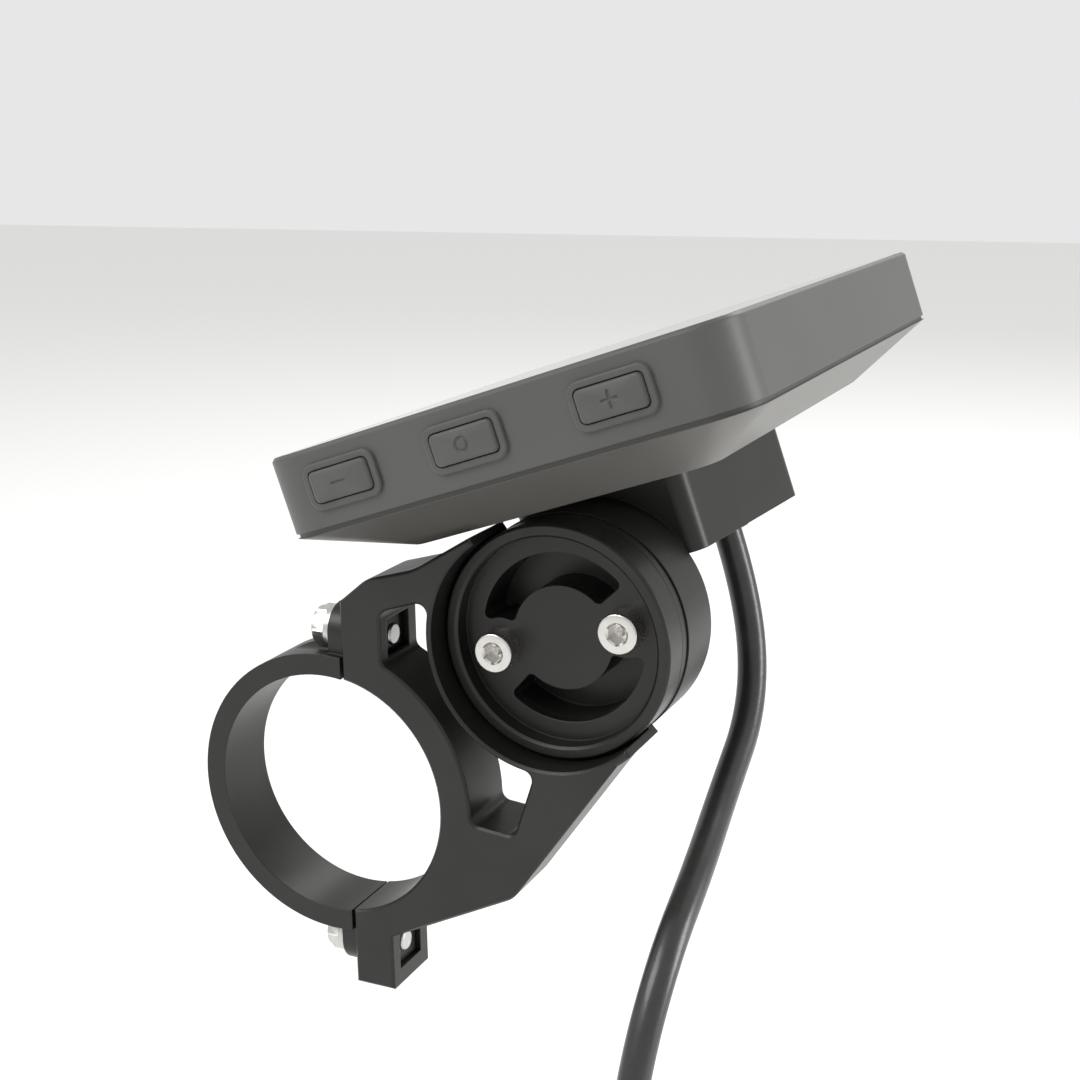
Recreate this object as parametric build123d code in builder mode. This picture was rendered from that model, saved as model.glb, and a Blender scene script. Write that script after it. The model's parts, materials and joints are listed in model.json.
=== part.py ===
"""Cycling computer on a tilting drum mount with a handlebar clamp. Millimetres.

Frame: origin at the centre of the handlebar clamp's bore, +Y along the bar, +X towards the
front wheel, +Z up. The bracket stands still on the bar. The head, which is the drum, foot,
display and lead, tilts about the drum's own axis, parallel to +Y.
"""
import os
from math import acos, cos, degrees, pi, radians, sin, tan

from build123d import *

os.makedirs("parts", exist_ok=True)

# ---- driving dimensions: clamp and bracket -------------------------------------------------
bar_radius = 17.5           # 35 mm handlebar
plate_half = 5.0            # half of the bracket plate's thickness, along Y
front_band = 4.7            # wall of the clamp's front half, round the bar
rear_band = 3.0             # wall of the clamp's rear half
seam_x = 3.0                # plane where the two clamp halves meet
seam_gap = 0.3
lug_front_x = 9.3           # front faces of the two bolt lugs
clamp_bolt_z = 23.1         # height of the clamp bolts above and below the bar's axis
lug_margin = 5.3            # lug metal outside the clamp bolt's axis
washer_seat_x = 0.4         # rear face of the clamp cap's bosses
boss_radius = 3.9
edge_break = 0.35           # small chamfer on machined edges
lug_shoulder = 1.8          # top edge's first bend, behind the lug's front face
lug_blend = 5.0
arm_rise = 3.6              # that bend above the lug
knee_out = 3.24             # top edge's second bend, outside the drum's cradle
knee_angle = 154.3          # and its place, in degrees round the tilt axis
knee_blend = 10.0
window_corner = 1.4
window_top_drop = 0.8       # window's top edge below the lug's top
window_bar_foot = -2        # where the window's lower side leaves the clamp's wall, in degrees
window_ring_start = 163     # where the window meets the seat's wall, in degrees
window_ring_turn = 102      # and how far it follows that wall
window_far_x = 28.7         # lower front corner of the window
window_far_z = -1.4
arm_foot_x = 28.3           # lower front corner of the plate
arm_foot_z = -10.6
arm_blend = 4.0
band_leave = -62            # where the plate's lower edge leaves the clamp, in degrees

# ---- driving dimensions: drum ---------------------------------------------------------------
drum_x = 33.3               # tilt axis, ahead of the bar
drum_z = 25.05              # tilt axis, above the bar
cap_radius = 16.0
barrel_radius = 16.2
seat_gap = 0.3              # radial gap between the cap and its seat in the bracket
seat_lip = 0.75             # thin wall left between the seat and the window
cradle_wall = 1.1           # bracket wall round the seat, on its lower right
cradle_end = -46            # where that wall ends, in degrees round the tilt axis
arm_tangent = 126           # where the plate's top edge leaves the drum, in degrees
arm_fall = -54              # where the plate's lower edge leaves the drum, in degrees
cap_front = -1.2            # Y of the cap's rim
cap_recess_radius = 14.2
cap_recess = 2.7
cap_floor = 1.5             # thickness of the cap's slotted floor
skirt_wall = 0.4
front_washer = 0.5
rear_washer = 0.3
washer_face = 2.4           # width of the friction washers' rings
bush_wall = 0.65
spigot_radius = 12.4
running_clearance = 0.05
barrel_length = 9.0
slot_inner = 7.1
slot_outer = 11.6
slot_depth = 5.0            # how far the crescents go on into the hub
slot_corner = 0.8
slot_pad = 4.1              # metal left round each cap screw
upper_slot = (25, 190)      # ends of the crescents, in degrees from the head's own X
lower_slot = (-150, 8)
cap_screw_circle = 9.2      # pitch radius of the two cap screws
cap_screw_turn = -3.8       # their angle from the head's own X, in degrees
cap_screw_length = 10.5     # under the head

# ---- driving dimensions: head ---------------------------------------------------------------
tilt = 18.8                 # display face from level, at rest, in degrees
glass_height = 33.9         # glass face above the tilt axis
head_length = 67.2          # display, front to back
head_width = 91.0           # display, side to side
head_front = 40.0           # front edge of the display ahead of the tilt axis
head_near = -13.4           # Y of the display wall that carries the buttons
wall_height = 10.3
cover_drop = 6.4            # back cover, from the wall's foot to its flat
cover_inset = 11.0          # flat of the back cover, in from the walls
corner_radius = 6.0
wall = 2.2
floor_wall = 2.0
gasket_height = 0.6         # gasket line between the housing and the back cover
gasket_inset = 0.35
rim = 1.3                   # narrow rim of the housing round the glass
rim_chamfer = 0.45
glass_thickness = 1.5
glass_gap = 0.1
adhesive = 0.2
ledge = 1.6                 # shelf that carries the glass
lcd_margin_x = 5.0          # panel in from the walls' insides, front and back
lcd_margin_y = 6.2          # and at the sides
lcd_thickness = 1.4
backlight = 2.2
tray_wall = 1.2
board_thickness = 1.6
board_gap = 0.4
board_lift = 0.8            # underside of the main board above the foot of the walls
post_radius = 1.8
post_margin_x = 0.6
post_margin_y = 1.7
cover_screw_edge_x = 4.2    # cover screws in from the edges of the cover's flat
cover_screw_edge_y = 3.9

# ---- driving dimensions: buttons ------------------------------------------------------------
button_places = {"left": -14.7, "middle": 3.8, "right": 24.1}   # along the wall
button_drop = 5.1           # button centres below the glass face
button_length = 9.0
button_height = 4.1
button_round = 0.8
button_proud = 1.25
button_edge = 0.5           # rounding of each pad's edge
button_travel = 0.5
button_gap = 0.15           # clearance round each button in its seal
flange_lip = 0.65           # inner flange of a button, at each end
flange_height = 2.4
flange_thickness = 0.6
flange_gap = 0.1
seal_lip = 0.85             # width of the seal's frame
seal_proud = 0.6
seal_wall = 0.45            # seal's sleeve through the wall
switch_gap = 0.1            # left between a button pressed home and its switch
switch_size = 3.2
switch_body = 1.2
switch_plunger = 0.5
switch_board = 0.8
switch_board_margin = 2.5   # board beyond the outer switches' middles

# ---- driving dimensions: foot, fasteners and lead -------------------------------------------
foot_left = -8.4            # foot's sides where it meets the drum
foot_right = 17.3
foot_flare = 4.4            # how much further each side stands at the far end
foot_far = 46.3
foot_bottom = 4.9           # foot's underside above the tilt axis
foot_corner = 2.5
foot_seal = 0.3
foot_seal_inset = 0.5
foot_screw_x = 9.0          # foot screws, from the foot's middle
foot_screw_y = 11.5
foot_screw_depth = 6.5
m3 = 1.5                    # M3 thread radius
m3_head_radius = 2.75
m3_head = 3.0
m3_socket = 2.5             # across the flats of the hexagon socket
m3_low_head = 1.8
m2 = 1.0                    # M2 thread radius
m2_head_radius = 1.9
m2_head = 1.2
m2_socket = 1.3
board_screw_tip_gap = 1.1   # left between the board screws' ends and the glass's shelf
cover_screw_length = 5.0    # from the cover's flat to the screw's end
thread_gap = 0.05
hole_gap = 0.15
hex_flats = 5.5             # M3 hexagon and square nut, across flats
hex_head = 2.0
flat_washer = 0.5
flat_washer_radius = 3.5
spring_washer = 0.8
spring_washer_radius = 3.1
spring_split = 0.5
nut_thickness = 1.8
nut_sink = 0.8              # nut face below the lug's face
nut_gap = 0.2
bolt_past_nut = 0.3
lead_radius = 2.1
lead_x = 13.5               # lead exit along the foot
lead_y = 34.0               # lead exit across the foot
grommet_wall = 1.1
grommet_depth = 3.0
grommet_collar = 1.0        # grommet below the foot
header_length = 6.0
header_width = 10.0
header_height = 2.6
neck_radius = 3.2           # plug's strain relief, at the lead
neck_length = 9.0
plug_radius = 4.8
plug_length = 20.0
nose_radius = 3.9
nose_length = 9.0
nose_wall = 0.8
nose_depth = 6.0
ring_radius = 5.3
ring_length = 6.0
ring_gap = 0.1
pin_radius = 0.5
pin_circle = 1.9
pin_length = 4.5
pin_count = 5

lead_start = 11.0           # first run, square to the foot's underside
arc_share = 0.45            # share of the shorter run that an arc of the lead takes up

# The free lead's points in this frame, after its first run: it bends towards the near side,
# then hangs.
lead_points = [
    (51.4, 27.5, 9.4),
    (51.6, 13.0, 1.0),
    (53.0, -0.5, -3.6),
    (53.0, -12.5, -9.7),
    (51.8, -20.0, -22.0),
    (50.8, -23.0, -38.0),
    (50.6, -24.0, -55.0),
    (51.2, -23.6, -72.0),
    (52.0, -22.8, -89.0),
]

# ---- sizes that follow ----------------------------------------------------------------------
seat_radius = cap_radius + seat_gap
cap_floor_y = cap_front + cap_recess
cap_back = cap_floor_y + cap_floor
cap_screw_end = cap_floor_y + cap_screw_length
web_front = cap_back + front_washer
hub_front = plate_half + rear_washer
hub_back = hub_front + barrel_length
bush_inner = spigot_radius + running_clearance
bush_outer = bush_inner + bush_wall
washer_outer = bush_outer + washer_face
tilt_cos = cos(radians(tilt))
tilt_sin = sin(radians(tilt))

wall_foot = glass_height - wall_height
cover_top = wall_foot - gasket_height
cover_flat = wall_foot - cover_drop
cover_floor = cover_flat + floor_wall
foot_top = cover_flat - foot_seal
head_x = head_front - head_length / 2
head_y = head_near + head_width / 2
glass_floor = glass_height - glass_thickness - adhesive
ledge_bottom = glass_floor - ledge
lcd_bottom = glass_floor - lcd_thickness
board_bottom = wall_foot + board_lift
board_top = board_bottom + board_thickness
wall_inside = head_near + wall
inner_length = head_length - 2 * wall
inner_width = head_width - 2 * wall
inner_corner = corner_radius - wall
lcd_length = inner_length - 2 * lcd_margin_x
lcd_width = inner_width - 2 * lcd_margin_y
cover_screw_x = head_length / 2 - cover_inset - cover_screw_edge_x
cover_screw_y = head_width / 2 - cover_inset - cover_screw_edge_y
board_screw_reach = ledge_bottom - board_top - board_screw_tip_gap
post_x = inner_length / 2 - post_radius - post_margin_x
post_y = inner_width / 2 - post_radius - post_margin_y
post_places = [(head_x + i * post_x, head_y + j * post_y) for i in (-1, 1) for j in (-1, 1)]
cover_screw_places = [
    (head_x + i * cover_screw_x, head_y + j * cover_screw_y) for i in (-1, 1) for j in (-1, 1)
]
foot_x = (foot_left + foot_right) / 2
foot_y = (hub_back + foot_far) / 2
foot_screw_places = [
    (foot_x + i * foot_screw_x, foot_y + j * foot_screw_y) for i in (-1, 1) for j in (-1, 1)
]
cap_screw_places = [
    (cap_screw_circle * cos(radians(a)), cap_screw_circle * sin(radians(a)))
    for a in (cap_screw_turn, cap_screw_turn + 180)
]
button_z = glass_height - button_drop
exit_height = foot_bottom - grommet_collar


def side(y):
    """Plane across the bar at Y: sketch X is +X, sketch Y is +Z, and it faces -Y."""
    return Plane.XZ.offset(-y)


def head_side(y):
    """The same, centred on the tilt axis and turned with the head."""
    return Plane(origin=(drum_x, y, drum_z), x_dir=(tilt_cos, 0, tilt_sin), z_dir=(0, -1, 0))


def deck(z):
    """Plane parallel to the glass at height z above the tilt axis; sketch Y is +Y."""
    middle = (drum_x - z * tilt_sin, 0, drum_z + z * tilt_cos)
    return Plane(origin=middle, x_dir=(tilt_cos, 0, tilt_sin), z_dir=(-tilt_sin, 0, tilt_cos))


def across(x, z):
    """Plane across X at a height on the plate's middle, facing +X; sketch X is +Y."""
    return Plane(origin=(x, 0, z), x_dir=(0, 1, 0), z_dir=(1, 0, 0))


def head_point(x, y, z):
    """Point of the head, from its own X and height, in this file's frame."""
    return Vector(drum_x + x * tilt_cos - z * tilt_sin, y, drum_z + x * tilt_sin + z * tilt_cos)


def polar(radius, angle):
    """Point on a circle round the tilt axis, in the plane across the bar."""
    return (drum_x + radius * cos(radians(angle)), drum_z + radius * sin(radians(angle)))


def corner(sketch, x, y):
    """The sketch's corner nearest to a point."""
    return sketch.vertices().sort_by_distance((x, y, 0))[0]


def finish(part, name):
    """Label a finished piece and write it to its own file."""
    part.label = name
    export_step(part, f"parts/{name}.step")


# ---- bracket: machined plate, front half of the clamp, window and drum seat ------------------
front_radius = bar_radius + front_band
rear_radius = bar_radius + rear_band
seam_front = seam_x + seam_gap / 2
seam_rear = seam_x - seam_gap / 2
lug_end = clamp_bolt_z + lug_margin
cradle_radius = seat_radius + cradle_wall
window_radius = seat_radius + seat_lip
plate = 2 * plate_half
reach = 60                  # longer than the plate, for cuts that run right past it
nut_pocket = nut_thickness + nut_sink
window_top_z = lug_end - window_top_drop
shoulder_x = lug_front_x - lug_shoulder
shoulder_z = lug_end + arm_rise

with BuildPart() as bracket_body:
    with BuildSketch(side(-plate_half)) as outline:
        knee = polar(cradle_radius + knee_out, knee_angle)
        Circle(front_radius)
        with Locations((drum_x, drum_z)):
            Circle(cradle_radius)
        with BuildLine():
            Polyline(
                (0, 0),
                (seam_front, lug_end),
                (shoulder_x, shoulder_z),
                knee,
                polar(cradle_radius, arm_tangent),
                (drum_x, drum_z),
                (0, 0),
            )
        make_face()
        with BuildLine():
            Polyline(
                (drum_x, drum_z),
                polar(cradle_radius, arm_fall),
                (arm_foot_x, arm_foot_z),
                (front_radius * cos(radians(band_leave)), front_radius * sin(radians(band_leave))),
                (0, 0),
                (drum_x, drum_z),
            )
        make_face()
        with Locations((lug_front_x / 2, -lug_end / 2)):
            Rectangle(lug_front_x, lug_end)
        with BuildLine():
            Polyline(
                (drum_x, drum_z),
                polar(cradle_radius, cradle_end),
                polar(2 * reach, cradle_end),
                polar(3 * reach, (cradle_end + arm_tangent) / 2),
                polar(2 * reach, arm_tangent),
                polar(cradle_radius, arm_tangent),
                (drum_x, drum_z),
            )
        make_face(mode=Mode.SUBTRACT)
        with Locations((seam_front - reach, 0)):
            Rectangle(2 * reach, 4 * reach, mode=Mode.SUBTRACT)
        fillet(corner(outline, shoulder_x, shoulder_z), radius=lug_blend)
        fillet(corner(outline, *knee), radius=knee_blend)
        fillet(corner(outline, arm_foot_x, arm_foot_z), radius=arm_blend)
    extrude(amount=-plate)
    with BuildSketch(side(web_front)):
        with Locations((drum_x, drum_z)):
            Circle(cap_radius)
    extrude(amount=-(plate_half - web_front))
    with BuildSketch(side(-plate_half)):
        with Locations((drum_x, drum_z)):
            Circle(seat_radius)
    extrude(amount=-(plate_half + web_front), mode=Mode.SUBTRACT)
    with BuildSketch(side(-plate_half)):
        with Locations((drum_x, drum_z)):
            Circle(bush_outer)
        Circle(bar_radius)
    extrude(amount=-plate, mode=Mode.SUBTRACT)
    with BuildSketch(side(-plate_half)) as window:
        bar_side_top = degrees(acos(lug_front_x / front_radius))
        with BuildLine():
            bar_side = CenterArc(
                (0, 0), front_radius, window_bar_foot, bar_side_top - window_bar_foot
            )
            left = Line(bar_side @ 1, (lug_front_x, window_top_z))
            Line(left @ 1, polar(window_radius, window_ring_start))
            ring_side = CenterArc(
                (drum_x, drum_z), window_radius, window_ring_start, window_ring_turn
            )
            lobe = Line(ring_side @ 1, (window_far_x, window_far_z))
            Line(lobe @ 1, bar_side @ 0)
        make_face()
        fillet(window.vertices(), radius=window_corner)
    extrude(amount=-plate, mode=Mode.SUBTRACT)
    for z in (clamp_bolt_z, -clamp_bolt_z):
        with BuildSketch(across(lug_front_x, z)):
            Rectangle(hex_flats + 2 * nut_gap, hex_flats + 2 * nut_gap)
        extrude(amount=-nut_pocket, mode=Mode.SUBTRACT)
        with BuildSketch(across(seam_x, z)):
            Circle(m3 + hole_gap)
        extrude(amount=lug_front_x, mode=Mode.SUBTRACT)
    front_face = bracket_body.faces().filter_by(Axis.Y).sort_by(Axis.Y)[0]
    chamfer(front_face.edges(), length=edge_break)
finish(bracket_body.part, "bracket_body")

# ---- clamp cap: rear half of the clamp, with a round boss for each bolt ----------------------
with BuildPart() as clamp_cap:
    with BuildSketch(side(-plate_half)):
        Circle(rear_radius)
        with Locations((seam_rear + reach, 0)):
            Rectangle(2 * reach, 2 * reach, mode=Mode.SUBTRACT)
    extrude(amount=-plate)
    for z in (clamp_bolt_z, -clamp_bolt_z):
        with BuildSketch(across(seam_rear, z)):
            Circle(boss_radius)
            with Locations((0, -z / 4)):
                Rectangle(2 * boss_radius, abs(z) / 2)
        extrude(amount=washer_seat_x - seam_rear)
        with BuildSketch(across(washer_seat_x, z)):
            Circle(boss_radius)
        extrude(amount=-reach, mode=Mode.SUBTRACT)
        with BuildSketch(across(seam_x, z)):
            Circle(m3 + hole_gap)
        extrude(amount=-reach, mode=Mode.SUBTRACT)
    with BuildSketch(side(-plate_half)):
        Circle(bar_radius)
    extrude(amount=-plate, mode=Mode.SUBTRACT)
finish(clamp_cap.part, "clamp_cap")

# ---- clamp fasteners: hexagon bolt, split washer, flat washer and captive square nut, twice ---
flat_face = washer_seat_x - flat_washer
spring_face = flat_face - spring_washer
bolt_end = lug_front_x - nut_sink + bolt_past_nut
nut_seat = lug_front_x - nut_pocket

with BuildPart() as clamp_bolts:
    for z in (clamp_bolt_z, -clamp_bolt_z):
        with BuildSketch(across(spring_face, z)):
            RegularPolygon(hex_flats / 2, 6, major_radius=False)
        extrude(amount=-hex_head)
        with BuildSketch(across(spring_face, z)):
            Circle(m3)
        extrude(amount=bolt_end - spring_face)
finish(clamp_bolts.part, "clamp_bolts")

with BuildPart() as spring_washers:
    for z in (clamp_bolt_z, -clamp_bolt_z):
        with BuildSketch(across(spring_face, z)):
            Circle(spring_washer_radius)
            Circle(m3 + thread_gap, mode=Mode.SUBTRACT)
            with Locations((0, spring_washer_radius)):
                Rectangle(spring_split, 2 * spring_washer_radius - 2 * m3, mode=Mode.SUBTRACT)
        extrude(amount=spring_washer)
finish(spring_washers.part, "spring_washers")

with BuildPart() as flat_washers:
    for z in (clamp_bolt_z, -clamp_bolt_z):
        with BuildSketch(across(flat_face, z)):
            Circle(flat_washer_radius)
            Circle(m3 + thread_gap, mode=Mode.SUBTRACT)
        extrude(amount=flat_washer)
finish(flat_washers.part, "flat_washers")

with BuildPart() as square_nuts:
    for z in (clamp_bolt_z, -clamp_bolt_z):
        with BuildSketch(across(nut_seat, z)):
            Rectangle(hex_flats, hex_flats)
            Circle(m3 + thread_gap, mode=Mode.SUBTRACT)
        extrude(amount=nut_thickness)
finish(square_nuts.part, "square_nuts")

# ---- pivot: bush and friction washers, which stay with the bracket ---------------------------
with BuildPart() as pivot_bush:
    with BuildSketch(side(web_front)):
        with Locations((drum_x, drum_z)):
            Circle(bush_outer)
            Circle(bush_inner, mode=Mode.SUBTRACT)
    extrude(amount=-(plate_half - web_front))
finish(pivot_bush.part, "pivot_bush")

with BuildPart() as front_friction_washer:
    with BuildSketch(side(web_front)):
        with Locations((drum_x, drum_z)):
            Circle(washer_outer)
            Circle(bush_outer, mode=Mode.SUBTRACT)
    extrude(amount=front_washer - running_clearance)
finish(front_friction_washer.part, "front_friction_washer")

with BuildPart() as rear_friction_washer:
    with BuildSketch(side(plate_half)):
        with Locations((drum_x, drum_z)):
            Circle(washer_outer)
            Circle(bush_outer, mode=Mode.SUBTRACT)
    extrude(amount=-(rear_washer - running_clearance))
finish(rear_friction_washer.part, "rear_friction_washer")


# ---- drum: slotted cap, and the hub that carries the foot ------------------------------------
def crescent(ends):
    """Slot between two circles and two angles, kept clear of the cap screws' pads."""
    start, stop = ends
    with BuildSketch() as slot:
        with BuildLine():
            outer = CenterArc((0, 0), slot_outer, start, stop - start)
            inner = CenterArc((0, 0), slot_inner, start, stop - start)
            Line(outer @ 0, inner @ 0)
            Line(outer @ 1, inner @ 1)
        make_face()
        with Locations(*cap_screw_places):
            Circle(slot_pad, mode=Mode.SUBTRACT)
        fillet(slot.vertices(), radius=slot_corner)
    return slot.sketch


crescents = [crescent(upper_slot), crescent(lower_slot)]

with BuildPart() as drum_cap:
    with BuildSketch(head_side(cap_front)):
        Circle(cap_radius)
    extrude(amount=-(cap_back - cap_front))
    with BuildSketch(head_side(cap_back)):
        Circle(cap_radius)
        Circle(cap_radius - skirt_wall, mode=Mode.SUBTRACT)
    extrude(amount=-(front_washer - 2 * running_clearance))
    with BuildSketch(head_side(cap_front)):
        Circle(cap_recess_radius)
    extrude(amount=-cap_recess, mode=Mode.SUBTRACT)
    for shape in crescents:
        with BuildSketch(head_side(cap_front)):
            add(shape)
        extrude(amount=-(cap_back - cap_front), mode=Mode.SUBTRACT)
    with BuildSketch(head_side(cap_front)):
        with Locations(*cap_screw_places):
            Circle(m3 + hole_gap)
    extrude(amount=-(cap_back - cap_front), mode=Mode.SUBTRACT)
    rim_edges = drum_cap.edges().filter_by(GeomType.CIRCLE).group_by(Axis.Y)[0]
    chamfer(rim_edges, length=edge_break)
finish(drum_cap.part, "drum_cap")


def foot_shape(inset):
    """Outline of the foot, drawn in by an inset."""
    with BuildSketch() as shape:
        with BuildLine():
            Polyline(
                (foot_left + inset, hub_back + inset),
                (foot_left - foot_flare + inset, foot_far - inset),
                (foot_right + foot_flare - inset, foot_far - inset),
                (foot_right - inset, hub_back + inset),
                (foot_left + inset, hub_back + inset),
            )
        make_face()
        fillet(shape.vertices(), radius=foot_corner - inset)
    return shape.sketch


with BuildPart() as tilt_hub:
    with BuildSketch(head_side(hub_front)):
        Circle(barrel_radius)
    extrude(amount=-barrel_length)
    with BuildSketch(head_side(cap_back)):
        Circle(spigot_radius)
    extrude(amount=-(hub_front - cap_back))
    chamfer(tilt_hub.edges().filter_by(GeomType.CIRCLE).group_by(Axis.Y)[-1], length=edge_break)
    with BuildSketch(deck(foot_bottom)):
        add(foot_shape(0))
        with Locations((foot_x, hub_back)):
            Rectangle(foot_right - foot_left - 2 * foot_corner, 2 * foot_corner)
    extrude(amount=foot_top - foot_bottom)
    with BuildSketch(head_side(hub_back - foot_corner)):
        Rectangle(2 * reach, 2 * reach)
        Circle(barrel_radius, mode=Mode.SUBTRACT)
    extrude(amount=-foot_corner, mode=Mode.SUBTRACT)
    for shape in crescents:
        with BuildSketch(head_side(cap_back)):
            add(shape)
        extrude(amount=-slot_depth, mode=Mode.SUBTRACT)
    with BuildSketch(head_side(cap_back)):
        with Locations(*cap_screw_places):
            Circle(m3 + thread_gap)
    extrude(amount=-(cap_screw_end - cap_back + hole_gap), mode=Mode.SUBTRACT)
    with BuildSketch(deck(foot_top)):
        with Locations(*foot_screw_places):
            Circle(m3 + thread_gap)
    extrude(amount=-(foot_screw_depth + hole_gap), mode=Mode.SUBTRACT)
    with BuildSketch(deck(foot_bottom)):
        with Locations((lead_x, lead_y)):
            Circle(lead_radius + hole_gap)
    extrude(amount=foot_top - foot_bottom, mode=Mode.SUBTRACT)
    with BuildSketch(deck(foot_bottom)):
        with Locations((lead_x, lead_y)):
            Circle(lead_radius + grommet_wall)
    extrude(amount=grommet_depth, mode=Mode.SUBTRACT)
finish(tilt_hub.part, "tilt_hub")

with BuildPart() as cap_screws:
    with BuildSketch(head_side(cap_floor_y)):
        with Locations(*cap_screw_places):
            Circle(m3_head_radius)
    extrude(amount=m3_head)
    chamfer(cap_screws.edges().group_by(Axis.Y)[0], length=edge_break)
    with BuildSketch(head_side(cap_floor_y - m3_head)):
        with Locations(*cap_screw_places):
            RegularPolygon(m3_socket / 2, 6, major_radius=False)
    extrude(amount=-m3_head / 2, mode=Mode.SUBTRACT)
    with BuildSketch(head_side(cap_floor_y)):
        with Locations(*cap_screw_places):
            Circle(m3)
    extrude(amount=-(cap_screw_end - cap_floor_y))
finish(cap_screws.part, "cap_screws")


# ---- display: housing, cover glass and panel --------------------------------------------------
def plan(length, width, radius=0.0):
    """Rectangle centred under the display, with round corners when a radius is given."""
    with BuildSketch() as shape:
        with Locations((head_x, head_y)):
            if radius > 0:
                RectangleRounded(length, width, radius)
            else:
                Rectangle(length, width)
    return shape.sketch


head_up = Axis((0, 0, 0), (-tilt_sin, 0, tilt_cos))
button_centres = [(x, button_z) for x in button_places.values()]
opening_length = button_length + 2 * button_gap
opening_height = button_height + 2 * button_gap
sleeve_length = opening_length + 2 * seal_wall
sleeve_height = opening_height + 2 * seal_wall
glass_length = head_length - 2 * rim
glass_width = head_width - 2 * rim
glass_corner = corner_radius - rim
window_length = lcd_length + 2 * hole_gap
window_width = lcd_width + 2 * hole_gap

with BuildPart() as display_housing:
    with BuildSketch(deck(wall_foot)):
        add(plan(head_length, head_width, corner_radius))
    extrude(amount=wall_height)
    chamfer(display_housing.faces().sort_by(head_up)[-1].edges(), length=rim_chamfer)
    with BuildSketch(deck(glass_floor)):
        add(plan(glass_length, glass_width, glass_corner))
    extrude(amount=reach, mode=Mode.SUBTRACT)
    with BuildSketch(deck(wall_foot)):
        add(plan(inner_length, inner_width, inner_corner))
    extrude(amount=ledge_bottom - wall_foot, mode=Mode.SUBTRACT)
    with BuildSketch(deck(ledge_bottom)):
        add(plan(window_length, window_width))
    extrude(amount=ledge, mode=Mode.SUBTRACT)
    with BuildSketch(deck(board_top)):
        with Locations(*post_places):
            Circle(post_radius)
            Circle(m2 + thread_gap, mode=Mode.SUBTRACT)
    extrude(amount=ledge_bottom - board_top)
    with BuildSketch(head_side(head_near)):
        with Locations(*button_centres):
            RectangleRounded(sleeve_length, sleeve_height, button_round)
    extrude(amount=-wall, mode=Mode.SUBTRACT)
finish(display_housing.part, "display_housing")

with BuildPart() as cover_glass:
    with BuildSketch(deck(glass_height - glass_thickness)):
        add(plan(glass_length - 2 * glass_gap, glass_width - 2 * glass_gap, glass_corner - glass_gap))
    extrude(amount=glass_thickness)
    chamfer(cover_glass.faces().sort_by(head_up)[-1].edges(), length=edge_break)
finish(cover_glass.part, "cover_glass")

with BuildPart() as glass_adhesive:
    with BuildSketch(deck(glass_floor)):
        add(plan(glass_length - 4 * adhesive, glass_width - 4 * adhesive, glass_corner - 2 * adhesive))
        add(plan(window_length + 4 * adhesive, window_width + 4 * adhesive), mode=Mode.SUBTRACT)
    extrude(amount=adhesive)
finish(glass_adhesive.part, "glass_adhesive")

with BuildPart() as lcd_panel:
    with BuildSketch(deck(lcd_bottom)):
        add(plan(lcd_length, lcd_width))
    extrude(amount=lcd_thickness)
finish(lcd_panel.part, "lcd_panel")

with BuildPart() as backlight_tray:
    with BuildSketch(deck(board_top)):
        add(plan(lcd_length, lcd_width))
    extrude(amount=lcd_bottom - board_top)
    with BuildSketch(deck(board_top)):
        add(plan(lcd_length - 2 * tray_wall, lcd_width - 2 * tray_wall))
    extrude(amount=lcd_bottom - backlight - board_top, mode=Mode.SUBTRACT)
finish(backlight_tray.part, "backlight_tray")

# ---- electronics: main board, its chips and screws, and the lead's header ---------------------
with BuildPart() as main_board:
    with BuildSketch(deck(board_bottom)):
        add(plan(inner_length - 2 * board_gap, inner_width - 2 * board_gap, inner_corner - board_gap))
        with Locations(*post_places, *cover_screw_places):
            Circle(m2 + hole_gap, mode=Mode.SUBTRACT)
    extrude(amount=board_thickness)
finish(main_board.part, "main_board")

# Each chip: where its middle is, from the display's middle, its length and width, and its height.
chips = [
    (-8.0, -6.0, 9.0, 9.0, 1.0),
    (-10.0, 8.0, 6.0, 5.0, 1.5),
    (6.0, -14.0, 6.5, 6.5, 3.0),
    (-4.0, -20.0, 5.0, 4.0, 1.2),
    (14.0, -8.0, 4.0, 3.0, 1.0),
    (-12.0, 20.0, 7.5, 5.0, 1.2),
    (8.0, 22.0, 5.0, 5.0, 2.0),
]
with BuildPart() as board_chips:
    for x, y, length, width, height in chips:
        with BuildSketch(deck(board_bottom)):
            with Locations((head_x + x, head_y + y)):
                Rectangle(length, width)
        extrude(amount=-height)
finish(board_chips.part, "board_chips")

with BuildPart() as lead_header:
    with BuildSketch(deck(board_bottom)):
        with Locations((lead_x, lead_y)):
            Rectangle(header_length, header_width)
    extrude(amount=-header_height)
finish(lead_header.part, "lead_header")

with BuildPart() as board_screws:
    with BuildSketch(deck(board_bottom)):
        with Locations(*post_places):
            Circle(m2_head_radius)
    extrude(amount=-m2_head)
    with BuildSketch(deck(board_bottom)):
        with Locations(*post_places):
            Circle(m2)
    extrude(amount=board_thickness + board_screw_reach)
finish(board_screws.part, "board_screws")

with BuildPart() as board_standoffs:
    with BuildSketch(deck(cover_floor)):
        with Locations(*cover_screw_places):
            RegularPolygon(post_radius, 6, major_radius=False)
            Circle(m2 + thread_gap, mode=Mode.SUBTRACT)
    extrude(amount=board_bottom - cover_floor)
finish(board_standoffs.part, "board_standoffs")

# ---- buttons: three pads, their seals, switches and the switch board --------------------------
pad_back = wall_inside - button_travel - flange_gap
flange_front = wall_inside + flange_gap
flange_back = flange_front + flange_thickness
plunger_front = flange_back + button_travel + switch_gap
switch_front = plunger_front + switch_plunger
switch_back = switch_front + switch_body

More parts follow.
